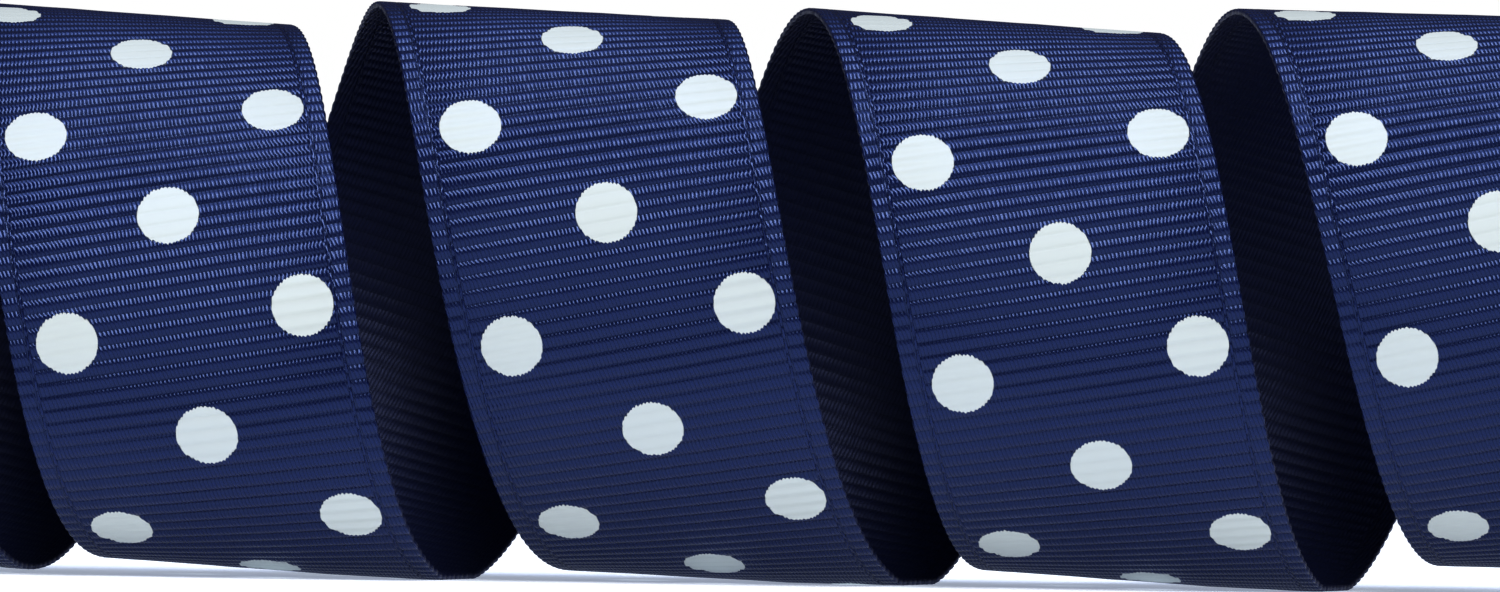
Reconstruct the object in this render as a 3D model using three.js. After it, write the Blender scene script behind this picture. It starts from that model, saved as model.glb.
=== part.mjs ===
// A length of woven grosgrain ribbon, wound into an open, springy coil that lies on its side.
// Millimetres, +Z up. The coil's axis runs along X, its front faces -Y, and it rests on Z = 0.
// The ribbon starts at the bottom of the left-hand turn. From the top of each turn it comes down
// the front to the right, passes underneath, and climbs the back to the top of the next turn.
import * as THREE from 'three';
import { mergeVertices } from 'three/addons/utils/BufferGeometryUtils.js';

// The ribbon
const RIBBON_WIDTH = 22.2;
const RIBBON_THICKNESS = 1;
const NAVY = '#18245a';

// The coil. A place along it is counted in turns: 1 is the top of turn 1, 1.25 its front, 1.5 its
// bottom and 1.75 its back. Both cut ends lie just past the bottom of a turn.
const PITCH = 28.2; // from one turn to the next, along X
const MEAN_RADIUS = 18.2; // of the outer face
const START = 0.45;
const END = 5.55;
const CENTRE_TURN = 3; // the turn whose top lies near X = 0
const COIL_X = 0.6; // brings the middle of the whole coil to X = 0
const COIL_Y = -0.15; // and to Y = 0
const FLAT_DEPTH = 0.3; // how far the lowest corner of a turn is pressed flat by the surface

// How fine the faces are
const STEPS_PER_TURN = 40;
const STEPS_ACROSS = 6;

// One row for each turn, from turn 0, in order along the ribbon. No two turns of a sprung ribbon
// lie alike.
//   shift   along X, from an even spacing
//   lift    of its lowest corner above the surface
//   radius  of its outer face
//   lean    in degrees, its top to the right
//   swing   in degrees, its front to the left
//   slant   how far it comes forward for each unit of height above its middle
//   bulge   how much further its back half stands out than its front half
const TURNS = [
  { shift: 0.0, lift: 0.0, radius: 18.1, lean: 3.0, swing: 3.5, slant: 0.0, bulge: 0.0 },
  { shift: 0.2, lift: 0.5, radius: 18.1, lean: 3.0, swing: 3.5, slant: -0.1, bulge: 0.0 },
  { shift: -0.35, lift: 0.0, radius: 18.0, lean: 3.6, swing: 3.0, slant: -0.2, bulge: -0.5 },
  { shift: 0.4, lift: 0.0, radius: 18.3, lean: 2.4, swing: 5.5, slant: 0.08, bulge: -1.5 },
  { shift: -0.4, lift: 0.0, radius: 18.1, lean: 3.5, swing: 2.3, slant: 0.05, bulge: 1.1 },
  { shift: -0.1, lift: 1.7, radius: 17.9, lean: 0.8, swing: 2.8, slant: 0.08, bulge: 0.0 },
];

// How steeply the ribbon crosses the coil: one pitch for each time round
const WRAP_ANGLE = Math.atan(PITCH / (2 * Math.PI * MEAN_RADIUS));

// The measures of the coil at a place along it. Each turn keeps its own over the top, front and
// bottom, and they change smoothly to the next turn's while the ribbon climbs the back.
function measuresAt(place) {
  const number = Math.min(Math.floor(place), TURNS.length - 1);
  const row = TURNS[number];
  const next = TURNS[Math.min(number + 1, TURNS.length - 1)];
  const change = THREE.MathUtils.smoothstep(place - number, 0.5, 1);
  const mixed = {};
  for (const name of Object.keys(row)) {
    mixed[name] = THREE.MathUtils.lerp(row[name], next[name], change);
  }
  return mixed;
}

// Takes a point of the flat ribbon onto the coil. place is in turns along the ribbon, across is
// from its centre line, and depth is how far the point lies under its outer face.
function woundPoint(place, across, depth) {
  const turn = measuresAt(place);
  const lean = THREE.MathUtils.degToRad(turn.lean);
  const swing = THREE.MathUtils.degToRad(turn.swing);
  const angle = 2 * Math.PI * place - (across * Math.sin(WRAP_ANGLE)) / turn.radius;
  const radius = turn.radius - depth;

  // The bulge is the row's own, because it acts on the back half alone, from the bottom to the top
  const { bulge } = TURNS[Math.floor(angle / (2 * Math.PI))];

  // On an upright turn: right, forward and up from its middle
  const right = across * Math.cos(WRAP_ANGLE);
  const up = radius * Math.cos(angle);
  const roundness = radius + (Math.sin(angle) < 0 ? bulge : 0);
  const forward = roundness * Math.sin(angle) + turn.slant * up;

  // The turn swings about its upright middle, then leans over to the right
  const swungRight = right * Math.cos(swing) - forward * Math.sin(swing);
  const swungForward = right * Math.sin(swing) + forward * Math.cos(swing);
  const leantRight = swungRight * Math.cos(lean) + up * Math.sin(lean);
  const leantUp = up * Math.cos(lean) - swungRight * Math.sin(lean);

  // Its middle stands as high as its lowest corner, the bottom right one, needs
  const halfWidth = (RIBBON_WIDTH / 2) * Math.cos(WRAP_ANGLE) * Math.cos(swing);
  const middleUp = turn.lift + turn.radius * Math.cos(lean) + halfWidth * Math.sin(lean) - FLAT_DEPTH;
  const middleX = COIL_X + PITCH * (place - CENTRE_TURN) + turn.shift;
  return new THREE.Vector3(middleX + leantRight, COIL_Y - swungForward, middleUp + leantUp);
}

// The ribbon rests on the surface: what would lie under it is pressed up, at its full thickness
function pressedPoint(place, across, depth) {
  const point = woundPoint(place, across, depth);
  const outer = depth === 0 ? point : woundPoint(place, across, 0);
  point.z += Math.max(0, -outer.z);
  return point;
}

// The flat strip is a box with its length in turns. Each of its vertices is carried to the coil.
function makeRibbon() {
  const turns = END - START;
  const steps = Math.round(turns * STEPS_PER_TURN);
  const strip = new THREE.BoxGeometry(turns, RIBBON_WIDTH, RIBBON_THICKNESS, steps, STEPS_ACROSS, 1);
  strip.deleteAttribute('normal');
  strip.deleteAttribute('uv');
  const coil = mergeVertices(strip);
  const positions = coil.attributes.position;
  for (let index = 0; index < positions.count; index += 1) {
    const place = START + turns / 2 + positions.getX(index);
    const depth = positions.getZ(index) > 0 ? 0 : RIBBON_THICKNESS;
    const point = pressedPoint(place, positions.getY(index), depth);
    positions.setXYZ(index, point.x, point.y, point.z);
  }
  coil.computeVertexNormals();
  const polyester = new THREE.MeshStandardMaterial({ color: NAVY, roughness: 0.65, metalness: 0 });
  const mesh = new THREE.Mesh(coil, polyester);
  mesh.name = 'ribbon';
  return mesh;
}

const coil = new THREE.Group();
coil.add(makeRibbon());
export default coil;
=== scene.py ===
# %% [markdown]
# # A springy coil of grosgrain ribbon
# Grosgrain is a ribbon woven with thick cross threads, so ribs run from edge to edge. This one is
# navy polyester, 7/8 inch wide, printed with white polka dots on one side, and it has been wound
# into an open coil that lies on its side. As in a mill, the strip is woven flat first, here with
# every rib in its mesh, and then wound. Its dye and its dots come last, because in Blender they are
# materials, drawn on a map of the flat cloth.
#
# Everything stands in the frame of the imported CAD model, so that comes first. Its box is kept.

# %% The frame
import functools
import math

import bmesh
import bpy
import numpy as np
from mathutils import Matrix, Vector


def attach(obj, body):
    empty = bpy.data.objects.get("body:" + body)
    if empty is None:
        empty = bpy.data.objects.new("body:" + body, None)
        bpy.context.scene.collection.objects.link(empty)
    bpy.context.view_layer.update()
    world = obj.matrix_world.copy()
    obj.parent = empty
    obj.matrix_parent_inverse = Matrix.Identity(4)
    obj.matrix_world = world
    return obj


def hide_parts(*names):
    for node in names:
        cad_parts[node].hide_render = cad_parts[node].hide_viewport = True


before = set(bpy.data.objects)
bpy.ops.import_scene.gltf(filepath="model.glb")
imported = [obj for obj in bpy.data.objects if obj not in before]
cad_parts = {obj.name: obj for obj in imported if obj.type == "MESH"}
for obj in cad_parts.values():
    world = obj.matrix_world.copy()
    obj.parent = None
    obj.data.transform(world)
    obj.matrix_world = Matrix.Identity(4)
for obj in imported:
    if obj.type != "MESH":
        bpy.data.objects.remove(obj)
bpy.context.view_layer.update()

MM = 0.001  # sizes are written in millimetres, and Blender's unit is the metre

# %% [markdown]
# ## The camera
# The photograph looks straight along the rows of turns, level with their middle, and shows hardly
# any perspective. A camera far away with a long lens gives that. The coil runs out of the frame on
# both sides, and the picture is turned by a hair, so the row of turns falls towards the right.

# %% The camera
FRAME_WIDTH = 96.8  # mm of ribbon that the picture's width takes in
VIEW_X, VIEW_Z = 14.67, 18.5  # mm, the point in the middle of the picture
ROLL = 0.84  # degrees
CAMERA_DISTANCE = 1200  # mm
SENSOR = 36  # mm

camera_data = bpy.data.cameras.new("Camera")
camera_data.sensor_width = SENSOR
camera_data.lens = SENSOR * CAMERA_DISTANCE / FRAME_WIDTH
camera = bpy.data.objects.new("Camera", camera_data)
camera.location = Vector((VIEW_X, -CAMERA_DISTANCE, VIEW_Z)) * MM
camera.rotation_euler = (math.radians(90), math.radians(-ROLL), 0)
bpy.context.scene.collection.objects.link(camera)
bpy.context.scene.camera = camera
print("lens in mm:", round(camera_data.lens))

# %% [markdown]
# ## Helpers for materials
# A material is a small network of nodes. One function adds any node, sets it up and links it, so
# a chain of sums reads from left to right. Another turns a colour from the sRGB hex value of a
# colour picker into the linear light that Blender counts in.

# %% Helpers for materials
def linear(hex_colour):
    """The linear RGBA of an sRGB colour such as "#1a2248"."""
    channels = [int(hex_colour[i : i + 2], 16) / 255 for i in (1, 3, 5)]
    return [c / 12.92 if c <= 0.04045 else ((c + 0.055) / 1.055) ** 2.4 for c in channels] + [1]


def add_node(tree, kind, *values, **settings):
    """Adds a node and gives back its output.

    The values fill its sockets in order. Each is a number, a colour or another node's output. The
    settings name its properties, or single sockets.
    """
    node = tree.nodes.new("ShaderNode" + kind)
    named = {name: value for name, value in settings.items() if name in node.inputs}
    for name in settings.keys() - named.keys():
        setattr(node, name, settings[name])
    in_order = zip([socket for socket in node.inputs if socket.enabled], values)
    for socket, value in [*in_order, *((node.inputs[name], value) for name, value in named.items())]:
        if isinstance(value, bpy.types.NodeSocket):
            tree.links.new(value, socket)
        else:
            socket.default_value = value
    return next(socket for socket in node.outputs if socket.enabled)


print("a middle grey in linear light:", round(linear("#808080")[0], 3))

# %% [markdown]
# ## The studio
# A pale floor, a soft sky and two soft boxes, a strong one above and in front and a weak one
# overhead, which is slightly blue. They make the sheen: each rib leans its upper side back, and in
# the upper half of the coil that side mirrors a box. The lower half mirrors only the floor, and
# stays matt. The floor is the white acrylic of a product photographer's light table, glowing a
# little, so that no shadow is deep. The sky is dim but for a white band at the horizon, which the
# camera sees behind the ribbon.

# %% The camera's response
CONTRAST = 0.75  # below 1 is more contrast

view_settings = bpy.context.scene.view_settings
view_settings.view_transform = "Standard"
view_settings.gamma = CONTRAST
print("view transform:", view_settings.view_transform, "gamma:", round(view_settings.gamma, 2))

# %% The floor
FLOOR_SIZE = 12000  # mm
floor_mesh = bpy.data.meshes.new("Floor")
floor_shape = bmesh.new()
bmesh.ops.create_grid(floor_shape, x_segments=1, y_segments=1, size=FLOOR_SIZE / 2 * MM)
floor_shape.to_mesh(floor_mesh)
floor_shape.free()
floor = bpy.data.objects.new("Floor", floor_mesh)
bpy.context.scene.collection.objects.link(floor)

acrylic = bpy.data.materials.new("Matt white acrylic")
acrylic.use_nodes = True
acrylic_shader = acrylic.node_tree.nodes["Principled BSDF"]
acrylic_shader.inputs["Base Color"].default_value = linear("#f6f6f6")
acrylic_shader.inputs["Roughness"].default_value = 0.9
acrylic_shader.inputs["Specular IOR Level"].default_value = 0.1
acrylic_shader.inputs["Emission Color"].default_value = linear("#e4eeff")
acrylic_shader.inputs["Emission Strength"].default_value = 0.47
floor_mesh.materials.append(acrylic)
print("floor in m:", tuple(floor.dimensions))

# %% The sky
SKY_STRENGTH = 0.15
HORIZON_STRENGTH = 1.0
HORIZON_SLOPE = 0.05  # the band reaches this high and low, and fades out over as much again

world = bpy.data.worlds.new("Soft sky")
world.use_nodes = True
bpy.context.scene.world = world
sky = world.node_tree
direction = add_node(sky, "SeparateXYZ", add_node(sky, "TexCoord")).node.outputs["Z"]
slope = add_node(sky, "Math", direction, operation="ABSOLUTE")
band = (HORIZON_SLOPE, 2 * HORIZON_SLOPE, HORIZON_STRENGTH, SKY_STRENGTH)
background = sky.nodes["Background"]
background.inputs["Color"].default_value = (1, 1, 1, 1)
sky.links.new(add_node(sky, "MapRange", slope, *band), background.inputs["Strength"])
print("sky nodes:", len(sky.nodes))

# %% The soft boxes
SOFT_BOX_DISTANCE = 1200  # mm
SOFT_BOXES = {  # width and height in mm, elevation in degrees, power in watts, colour
    "Front soft box": (350, 1250, 58, 16, "#ffffff"),
    "Overhead soft box": (800, 600, 95, 4.5, "#bcd2ff"),
}

for name, (width, height, degrees, watts, colour) in SOFT_BOXES.items():
    box_light = bpy.data.lights.new(name, "AREA")
    box_light.shape = "RECTANGLE"
    box_light.size, box_light.size_y = width * MM, height * MM
    box_light.energy = watts
    box_light.color = linear(colour)[:3]
    box = bpy.data.objects.new(name, box_light)
    elevation = math.radians(degrees)
    away = Vector((0, -math.cos(elevation), math.sin(elevation))) * SOFT_BOX_DISTANCE
    box.location = (Vector((VIEW_X, 0, VIEW_Z)) + away) * MM
    box.rotation_euler.x = math.radians(90) - elevation
    bpy.context.scene.collection.objects.link(box)
    print(name, "at, in m:", [round(side, 2) for side in box.location])

# %% [markdown]
# ## How the coil runs
# The ribbon lies round an axis along X. A place along it is counted in turns: 1 is the top of turn
# 1, 1.25 its front, 1.5 its bottom and 1.75 its back. A perfect helix would look like a machine
# spring, but in a sprung ribbon no two turns lie alike, so a short table gives each turn its own
# measures: how far it is shifted and lifted, its radius, how it leans and swings, and how its front
# and back stand out.

# %% The measures of the coil
RIBBON_WIDTH = 22.2  # mm, 7/8 inch
PITCH = 28.2  # mm, from one turn to the next
MEAN_RADIUS = 18.2  # mm, of the outer face
START, END = 0.45, 5.55  # turns
CENTRE_TURN = 3
COIL_X, COIL_Y = 0.6, -0.15  # mm
FLAT_DEPTH = 0.3  # mm, how far a turn's lowest corner is pressed flat by the surface
WRAP_ANGLE = math.atan(PITCH / (2 * math.pi * MEAN_RADIUS))

MEASURES = ("shift", "lift", "radius", "lean", "swing", "slant", "bulge")
TURNS = [
    (0.0, 0.0, 18.1, 3.0, 3.5, 0.0, 0.0),
    (0.2, 0.5, 18.1, 3.0, 3.5, -0.1, 0.0),
    (-0.35, 0.0, 18.0, 3.6, 3.0, -0.2, -0.5),
    (0.4, 0.0, 18.3, 2.4, 5.5, 0.08, -1.5),
    (-0.4, 0.0, 18.1, 3.5, 2.3, 0.05, 1.1),
    (-0.1, 1.7, 17.9, 0.8, 2.8, 0.08, 0.0),
]
print("turns:", round(END - START, 1), "wrap angle in degrees:", round(math.degrees(WRAP_ANGLE), 1))


@functools.cache
def measures_at(place):
    """The coil's measures at a place: a turn's own down its front, then changing to the next's."""
    number = min(int(place), len(TURNS) - 1)
    following = TURNS[min(number + 1, len(TURNS) - 1)]
    way = min(max((place - number - 0.5) / 0.5, 0), 1)
    change = way * way * (3 - 2 * way)
    return {name: a + (b - a) * change for name, a, b in zip(MEASURES, TURNS[number], following)}


def wound_point(place, across, depth):
    """Takes a point of the flat ribbon onto the coil, in mm. depth is from its outer face inwards."""
    turn = measures_at(place)
    lean, swing = math.radians(turn["lean"]), math.radians(turn["swing"])
    angle = 2 * math.pi * place - across * math.sin(WRAP_ANGLE) / turn["radius"]
    radius = turn["radius"] - depth
    bulge = TURNS[int(angle / (2 * math.pi))][MEASURES.index("bulge")]

    # On an upright turn: right, forward and up from its middle
    right = across * math.cos(WRAP_ANGLE)
    up = radius * math.cos(angle)
    forward = (radius + (bulge if math.sin(angle) < 0 else 0)) * math.sin(angle) + turn["slant"] * up

    # The turn swings about its upright middle, then leans over to the right
    swung_right = right * math.cos(swing) - forward * math.sin(swing)
    swung_forward = right * math.sin(swing) + forward * math.cos(swing)
    leant_right = swung_right * math.cos(lean) + up * math.sin(lean)
    leant_up = up * math.cos(lean) - swung_right * math.sin(lean)

    # Its middle stands as high as its lowest corner, the bottom right one, needs
    half_width = RIBBON_WIDTH / 2 * math.cos(WRAP_ANGLE) * math.cos(swing)
    middle_up = turn["lift"] + turn["radius"] * math.cos(lean) + half_width * math.sin(lean) - FLAT_DEPTH
    middle_x = COIL_X + PITCH * (place - CENTRE_TURN) + turn["shift"]
    return Vector((middle_x + leant_right, COIL_Y - swung_forward, middle_up + leant_up))


def pressed_point(place, across, depth):
    """The same, with what would lie under the surface pressed up at its full thickness."""
    point = wound_point(place, across, depth)
    point.z += max(0, -wound_point(place, across, 0).z)
    return point


# %% [markdown]
# ## From millimetres of ribbon to turns
# The mill's rule is that ribs and dots are evenly spaced along the cloth, whatever shape it is
# wound into. So the centre line is measured in small steps, and a table of lengths turns a number
# of millimetres from the ribbon's start into a place on the coil.

# %% The length of the centre line
MEASURING_STEPS = 2000
places = np.linspace(START, END, MEASURING_STEPS + 1)
centre_line = np.array([wound_point(place, 0, 0) for place in places])
steps = np.linalg.norm(np.diff(centre_line, axis=0), axis=1)
lengths = np.concatenate([[0], np.cumsum(steps)])
ribbon_length = float(lengths[-1])
print("length of ribbon in mm:", round(ribbon_length, 1))

# %% [markdown]
# ## Weaving the strip flat
# One rib is one thick cross thread with fine lengthwise threads drawn over it, so its section is a
# round crest between narrow grooves. Six rows of vertices draw one rib. Across the ribbon a few
# columns are enough, because the ribs run straight, with more of them at the edges, where the
# selvedges are. A grid is made in one call, its rows and columns are moved to those stations, and
# solidify gives it the cloth's thickness.

# %% The flat strip
RIB_PITCH = 0.92  # mm, 16 ribs to one repeat of the dots
CLOTH_THICKNESS = 0.42  # mm, from crest to crest
RIB_STATIONS = (0, 0.12, 0.31, 0.5, 0.69, 0.88)  # of a rib, from groove to groove
BODY_EDGE = 9.78  # mm from the middle, where the ribs meet the selvedge
BORDER = 9.87  # the column of small stitches between ribs and selvedge
SELVEDGE = 10.05  # where the selvedge proper begins
SELVEDGE_BACK = 10.95  # where it begins to round over
INNER_COLUMN = 3.1  # so that no face among the ribs is too long
HALF_WIDTH = RIBBON_WIDTH / 2
RIGHT_COLUMNS = (INNER_COLUMN, BODY_EDGE, BORDER, SELVEDGE, SELVEDGE_BACK, HALF_WIDTH)
COLUMNS = tuple(-x for x in reversed(RIGHT_COLUMNS)) + RIGHT_COLUMNS

rib_count = int(ribbon_length / RIB_PITCH)
row_count = rib_count * len(RIB_STATIONS)
column_gaps = len(COLUMNS) - 1

weave = bmesh.new()
bmesh.ops.create_grid(weave, x_segments=row_count, y_segments=column_gaps, size=1)
for vertex in weave.verts:
    row = round((vertex.co.x + 1) / 2 * row_count)
    column = round((vertex.co.y + 1) / 2 * column_gaps)
    rib, station = divmod(row, len(RIB_STATIONS))
    vertex.co.x = (rib + RIB_STATIONS[station]) * RIB_PITCH
    vertex.co.y = COLUMNS[column]
bmesh.ops.solidify(weave, geom=weave.faces[:], thickness=CLOTH_THICKNESS)
outer_height = max(vertex.co.z for vertex in weave.verts)
print("ribs:", rib_count, "faces:", len(weave.faces), "outer face at z =", outer_height)

# %% [markdown]
# ## Two maps while it is flat
# Now every point of the cloth has a simple address, so this is the time to write it down. The map
# "Flat" holds it in millimetres, along and across, and every pattern is drawn on it. The map
# "OFBake" is for a picture of the finished cloth: the long strip is cut into rows that fill a
# square, four of the outer side and four of the inner side. The rim goes with the outer side.

# %% The maps
ROWS_A_SIDE = 4
ROW_GAP = 1.0  # mm between rows, so that they don't bleed into each other
RIM_ON_MAP = 0.7  # mm, the rim drawn a little wider than it is, so that pixels catch it
row_length = ribbon_length / ROWS_A_SIDE
row_height = RIBBON_WIDTH + 2 * RIM_ON_MAP + ROW_GAP
map_width = row_length + 2 * RIM_ON_MAP + ROW_GAP
map_height = 2 * ROWS_A_SIDE * row_height

OUTER, INNER, RIM = "outer side", "inner side", "rim"
flat_map = weave.loops.layers.uv.new("Flat")
bake_map = weave.loops.layers.uv.new("OFBake")
for face in weave.faces:
    face.normal_update()
    side = OUTER if face.normal.z > 0.5 else INNER if face.normal.z < -0.5 else RIM
    face.material_index = 0 if side == OUTER else 1
    face.smooth = True
    centre = face.calc_center_median()
    row = min(int(centre.x / row_length), ROWS_A_SIDE - 1)
    for loop in face.loops:
        along, across, height = loop.vert.co
        loop[flat_map].uv = along, across
        if side == RIM and height < outer_height - CLOTH_THICKNESS / 2:
            if math.isclose(abs(centre.y), HALF_WIDTH, abs_tol=0.01):
                across += math.copysign(RIM_ON_MAP, centre.y)
            else:
                along += math.copysign(RIM_ON_MAP, centre.x - ribbon_length / 2)
        map_row = row + (ROWS_A_SIDE if side == INNER else 0)
        map_x = along - row * row_length + RIM_ON_MAP + ROW_GAP / 2
        map_y = map_row * row_height + across + row_height / 2
        loop[bake_map].uv = map_x / map_width, map_y / map_height
print("OFBake in mm:", round(map_width, 1), "by", round(map_height, 1))

# %% [markdown]
# ## Relief, then winding
# A rib's section is a shallow arch, and a groove is where two arches meet. Both faces have it. At
# the border between ribs and selvedge the small stitches stand half a rib out of step, and the
# left selvedge a little less than that. The outermost threads go round the edge, so it is thinner
# there and a little scalloped. Then every point is carried from the flat strip onto the coil, with
# its depth under the outer face.

# %% Relief and winding
GROOVE = 0.1  # mm deep on each face
BORDER_STEP = 0.5  # of a rib
LEFT_STEP = 0.4  # of a rib
EDGE_ROUNDING = 0.05  # mm taken off each face at the very edge
SCALLOP = 0.08  # mm that the edge stands out at each rib


def groove_at(along, across):
    """1 at the bottom of a groove and 0 on the crest of a rib, with round arches between."""
    step = BORDER_STEP if abs(across) == BORDER else LEFT_STEP if across < -BORDER else 0
    phase = (along / RIB_PITCH + step) % 1
    return (2 * phase - 1) ** 2


for vertex in weave.verts:
    along, across, height = vertex.co
    across = round(across, 4)
    groove = groove_at(along, across)
    at_edge = abs(across) == HALF_WIDTH
    relief = EDGE_ROUNDING if at_edge else GROOVE * groove
    depth = outer_height - height
    depth += relief if depth < CLOTH_THICKNESS / 2 else -relief
    if at_edge:
        across -= math.copysign(SCALLOP * groove, across)
    place = float(np.interp(along, lengths, places))
    vertex.co = pressed_point(place, across, depth) * MM

ribbon_mesh = bpy.data.meshes.new("Grosgrain ribbon")
weave.to_mesh(ribbon_mesh)
weave.free()
ribbon = bpy.data.objects.new("grosgrain_ribbon", ribbon_mesh)
bpy.context.scene.collection.objects.link(ribbon)
ribbon_mesh.calc_loop_triangles()
print("triangles:", len(ribbon_mesh.loop_triangles))

# %% [markdown]
# ## Drawing the weave
# The material of the cloth is worked out from the map "Flat", in millimetres, so its pattern
# follows the cloth round the coil. The lengthwise threads show as ticks on each rib, every quarter
# of a millimetre, half a step further on from rib to rib, and some stronger than others. Near
# each edge comes a column of small stitches, a thin dark gap, and the selvedge.

# %% Drawing the weave
WARP_PITCH = 0.25  # mm between the lengthwise threads that show
WARP_STEP = 0.5  # of that, from rib to rib
BORDER_HALF = 0.06  # mm, half the width of the column of stitches
SOFT = 0.05  # mm over which one zone of the weave passes into the next
WAVES = (0.4, 0.6, 1)  # a millimetre, along and across, of the threads' wandering
FAINTEST = 0.85  # how strongly the faintest threads show, beside 1 for the others
STEP = {"interpolation_type": "SMOOTHSTEP"}
print("threads across the ribbon:", round(RIBBON_WIDTH / WARP_PITCH))


def draw_weave(add):
    """The address of a point, and how far it is groove, thread or edge, each from 0 to 1."""
    flat = add("UVMap", uv_map="Flat")
    along = add("SeparateXYZ", flat)
    across = along.node.outputs["Y"]
    from_middle = add("Math", across, operation="ABSOLUTE")

    # The zones across the ribbon
    off_border = add("Math", add("Math", from_middle, BORDER, operation="SUBTRACT"), operation="ABSOLUTE")
    border = add("MapRange", off_border, BORDER_HALF, BORDER_HALF + SOFT, 1, 0, **STEP)
    selvedge = add("MapRange", from_middle, SELVEDGE, SELVEDGE + SOFT, **STEP)
    body = add("MapRange", from_middle, BODY_EDGE, BODY_EDGE + SOFT, 1, 0, **STEP)
    cloth = add("Math", body, add("Math", selvedge, border, operation="MAXIMUM"), operation="MAXIMUM")
    left = add("Math", across, -SELVEDGE, operation="LESS_THAN")

    # Ribs
    ribs = add("Math", along, RIB_PITCH, operation="DIVIDE")
    stepped = add("Math", border, BORDER_STEP, ribs, operation="MULTIPLY_ADD")
    stepped = add("Math", left, LEFT_STEP, stepped, operation="MULTIPLY_ADD")
    phase = add("Math", stepped, operation="FRACT")
    from_crest = add("Math", phase, 2, -1, operation="MULTIPLY_ADD")
    groove = add("Math", from_crest, from_crest, operation="MULTIPLY")

    # Threads, a little wavy
    wave_place = add("VectorMath", flat, WAVES, operation="MULTIPLY")
    wave = add("TexNoise", wave_place, Scale=1, Detail=1)
    threads = add("Math", across, 1 / WARP_PITCH, wave, operation="MULTIPLY_ADD")
    threads = add("Math", ribs, -WARP_STEP, threads, operation="MULTIPLY_ADD")
    turned = add("Math", threads, math.pi, operation="MULTIPLY")
    thread = add("Math", add("Math", turned, operation="COSINE"), operation="ABSOLUTE")

    # How strongly each thread and each rib shows
    patch_place = add("VectorMath", flat, (1 / RIB_PITCH, 1 / WARP_PITCH, 1), operation="MULTIPLY")
    patch = add("TexNoise", patch_place, Scale=1, Detail=1)
    strength = add("MapRange", patch, 0.35, 0.6, FAINTEST, 1, **STEP)
    return along, across, cloth, border, groove, thread, strength


# %% [markdown]
# ## Drawing the dots
# The dots are screen printed: white ink, laid on so thickly that it fills the grooves. They stand
# in a quincunx, a middle row and a row on either side of it, half a period out of step, 16 ribs to
# the period. The ink ends on whole threads, so a dot's outline is a little jagged.

# %% Drawing the dots
DOT_PERIOD = 16 * RIB_PITCH  # mm
DOT_RADIUS = 1.98  # mm
DOT_MIDDLE = 0.2  # mm, across, of the middle row
PAIR_DISTANCE = 7.6  # mm, across, from the middle row to the others
FIRST_DOT = 126.6  # mm along the cloth from the top of turn 1 to a dot of the middle row
THREAD_JAG = 0.1  # mm
OUTLINE_JAG = 0.25  # mm
JAGS = (1.5, 3, 1)  # a millimetre, along and across
INK_EDGE = 0.03  # mm, half the width of the outline

first_dot = float(np.interp(1, places, lengths)) + FIRST_DOT
print("dots a row:", int(ribbon_length / DOT_PERIOD))


def draw_dots(add, along, across, thread):
    """How far a point is ink, from 0 to 1."""
    fine_place = add("VectorMath", add("UVMap", uv_map="Flat"), JAGS, operation="MULTIPLY")
    ragged = add("Math", add("TexNoise", fine_place, Scale=1), 0.5, operation="SUBTRACT")
    printed_along = add("Math", thread, THREAD_JAG, along, operation="MULTIPLY_ADD")
    printed_along = add("Math", ragged, OUTLINE_JAG, printed_along, operation="MULTIPLY_ADD")
    sideways = add("Math", across, DOT_MIDDLE, operation="SUBTRACT")
    off_pair = add("Math", add("Math", sideways, operation="ABSOLUTE"), PAIR_DISTANCE, operation="SUBTRACT")

    reaches = []
    for off_row, row_start in ((sideways, 0), (off_pair, DOT_PERIOD / 2)):
        ahead = add("Math", printed_along, first_dot + row_start, operation="SUBTRACT")
        ahead = add("Math", ahead, DOT_PERIOD / 2, -DOT_PERIOD / 2, operation="WRAP")
        reaches.append(add("VectorMath", add("CombineXYZ", ahead, off_row), operation="LENGTH"))
    reach = add("Math", *reaches, operation="MINIMUM")
    return add("MapRange", reach, DOT_RADIUS - INK_EDGE, DOT_RADIUS + INK_EDGE, 1, 0, **STEP)


# %% [markdown]
# ## The cloth's material
# Polyester grosgrain: piece-dyed navy, woven of bright filaments, so matt at most angles and with a
# soft blue sheen where a thread faces the light. The grooves and the gaps between threads are
# painted a darker navy, as painted shade, because light doesn't reach into them, and the ink is
# painted a shade darker in the grooves. The bump adds what the mesh leaves out: it rounds the
# threads, and on the outer side it deepens the grooves, but fills them under the ink. The inner
# side is flatter and duller, and its sheen is greyer. The ink is a light grey that shows white
# under the strong light.

# %% The cloth's material
THREAD_HEIGHT = 0.02  # mm
GAP_DEPTH = 0.02  # mm, of the gaps beside the border
INKED_GROOVE = 0.015  # mm, of a groove's depth that the ink leaves
ROUNDED_GROOVE = (0.62, 0.35)  # where a groove's bottom is cut off, and how softly
INK_HEIGHT = 0.04  # mm
SHINY_TO = 0.75  # how far down into a groove the threads still shine, from 0 to 1
# painted shade: the darker navy of the grooves, of the gaps between threads and of the gaps beside the
# border, where light doesn't reach
PAINTED_SHADE_NAVY = linear("#040c30")
NAVY = linear("#040f3f")
INK = linear("#cbd0c9")
# painted shade: the ink a shade darker in the grooves, so the ribs show faintly through it
INK_PAINTED_GROOVE_SHADE = linear("#c9cec7")
DULL = 0.8  # roughness between the threads
INK_ROUGHNESS = 0.6


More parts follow.
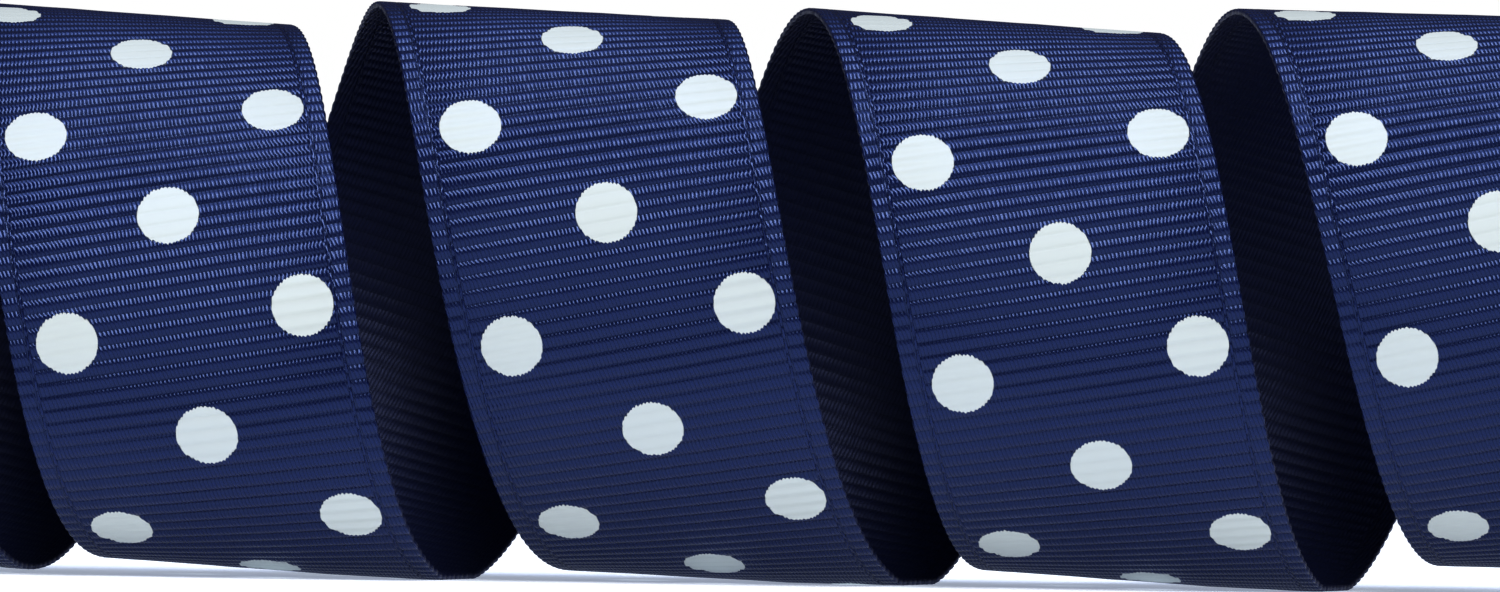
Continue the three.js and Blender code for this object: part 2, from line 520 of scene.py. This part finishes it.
def grosgrain(name, printed, rib_depth, sheen, shiny):
    """The material of one side of the ribbon.

    printed adds the dots, rib_depth is in mm from groove to crest, sheen is the colour of what the
    threads mirror, and shiny is the roughness where they mirror most.
    """
    material = bpy.data.materials.new(name)
    material.use_nodes = True
    tree = material.node_tree
    add = functools.partial(add_node, tree)
    along, across, cloth, border, groove, thread, strength = draw_weave(add)
    ink = draw_dots(add, along, across, thread) if printed else 0.0

    # A tick is where a thread tops a rib
    crest = add("Math", 1, groove, operation="SUBTRACT")
    tick = add("Math", crest, add("Math", thread, border, operation="MAXIMUM"), operation="MULTIPLY")
    tick = add("Math", tick, strength, operation="MULTIPLY")
    tick = add("Math", tick, cloth, operation="MULTIPLY")

    # Relief in mm
    drawn = add("Math", thread, strength, operation="MULTIPLY")
    woven = add("Math", drawn, THREAD_HEIGHT, operation="MULTIPLY")
    woven = add("Math", cloth, GAP_DEPTH, woven, operation="MULTIPLY_ADD")
    woven = add("Math", groove, GROOVE - rib_depth, woven, operation="MULTIPLY_ADD")
    rounded = add("Math", groove, *ROUNDED_GROOVE, operation="SMOOTH_MIN")
    inked = add("Math", rounded, GROOVE - INKED_GROOVE, INK_HEIGHT, operation="MULTIPLY_ADD")
    height = add("Mix", ink, woven, inked, data_type="FLOAT")
    bump = add("Bump", Height=height, Distance=MM)

    # Colour and roughness
    # painted shade: the darker navy wherever no thread tops a rib, in grooves and thread gaps; the threads'
    # strength also varies the tone at random
    navy = add("Mix", tick, PAINTED_SHADE_NAVY, NAVY, data_type="RGBA")
    # painted shade: the ink darker where a groove lies under it
    ink_with_painted_shade = add("Mix", groove, INK, INK_PAINTED_GROOVE_SHADE, data_type="RGBA")
    colour = add("Mix", ink, navy, ink_with_painted_shade, data_type="RGBA")
    shine = add("Math", drawn, add("MapRange", groove, SHINY_TO, 1, 1, 0), operation="MULTIPLY")
    roughness = add("MapRange", shine, 0, 0.4, DULL, shiny)
    roughness = add("Mix", ink, roughness, INK_ROUGHNESS, data_type="FLOAT")

    shader = tree.nodes["Principled BSDF"]
    tree.links.new(colour, shader.inputs["Base Color"])
    tree.links.new(roughness, shader.inputs["Roughness"])
    tree.links.new(bump, shader.inputs["Normal"])
    shader.inputs["IOR"].default_value = 1.57  # of polyester in the mass
    shader.inputs["Specular IOR Level"].default_value = 0.76  # drawn threads mirror more
    shader.inputs["Specular Tint"].default_value = linear(sheen)
    return material


printed_side = grosgrain(
    "Printed polyester grosgrain", printed=True, rib_depth=0.16, sheen="#a2bcff", shiny=0.27
)
plain_side = grosgrain(
    "Plain polyester grosgrain", printed=False, rib_depth=0.07, sheen="#c0ccff", shiny=0.5
)
ribbon_mesh.materials.append(printed_side)
ribbon_mesh.materials.append(plain_side)
print("nodes:", [len(material.node_tree.nodes) for material in ribbon_mesh.materials])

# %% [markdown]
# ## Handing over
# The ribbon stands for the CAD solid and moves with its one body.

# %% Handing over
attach(ribbon, "root")
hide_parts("ribbon")
